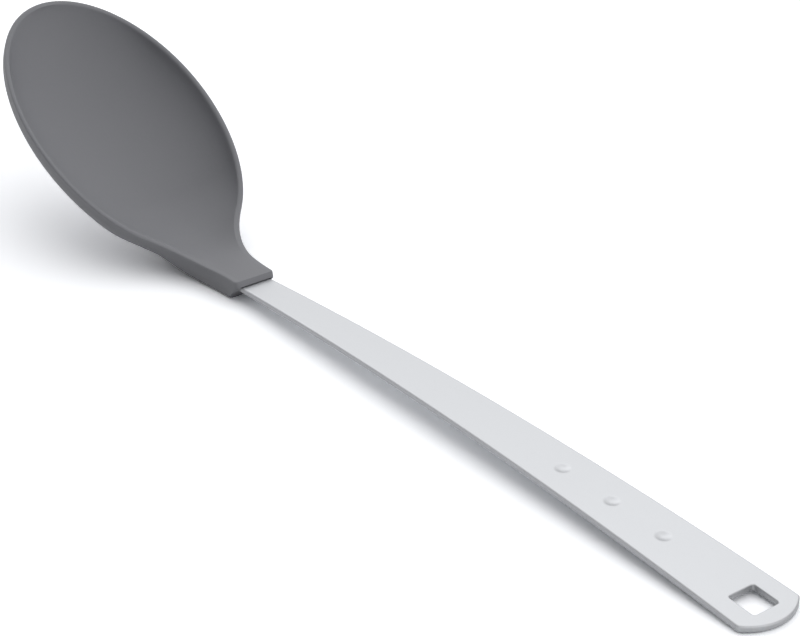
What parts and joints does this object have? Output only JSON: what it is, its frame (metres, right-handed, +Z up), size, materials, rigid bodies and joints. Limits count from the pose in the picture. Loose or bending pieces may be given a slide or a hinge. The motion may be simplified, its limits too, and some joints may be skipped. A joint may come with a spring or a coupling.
{
  "type": "serving spoon",
  "caption": "Serving spoon: a deep oval nylon bowl moulded onto an arched satin steel handle strip with a square hanging hole and small round dimples.",
  "frame": {"origin": "on the table under the middle of the spoon's bounding box, as the spoon rests on the foot of its neck and on its hanging end", "axes": "+X along the spoon towards the hanging end, +Z up from the table, +Y to the left of someone who looks along +X"},
  "size_m": [0.3264, 0.0626, 0.0589],
  "materials": {
    "satin_steel": "light satin stainless steel, softly blasted, no grain direction",
    "matt_nylon": "matt mid-grey glass-filled nylon with a fine moulded texture"
  },
  "bodies": {
    "root": {"handle_strip": "satin_steel", "spoon_head": "matt_nylon"}
  },
  "joints": []
}
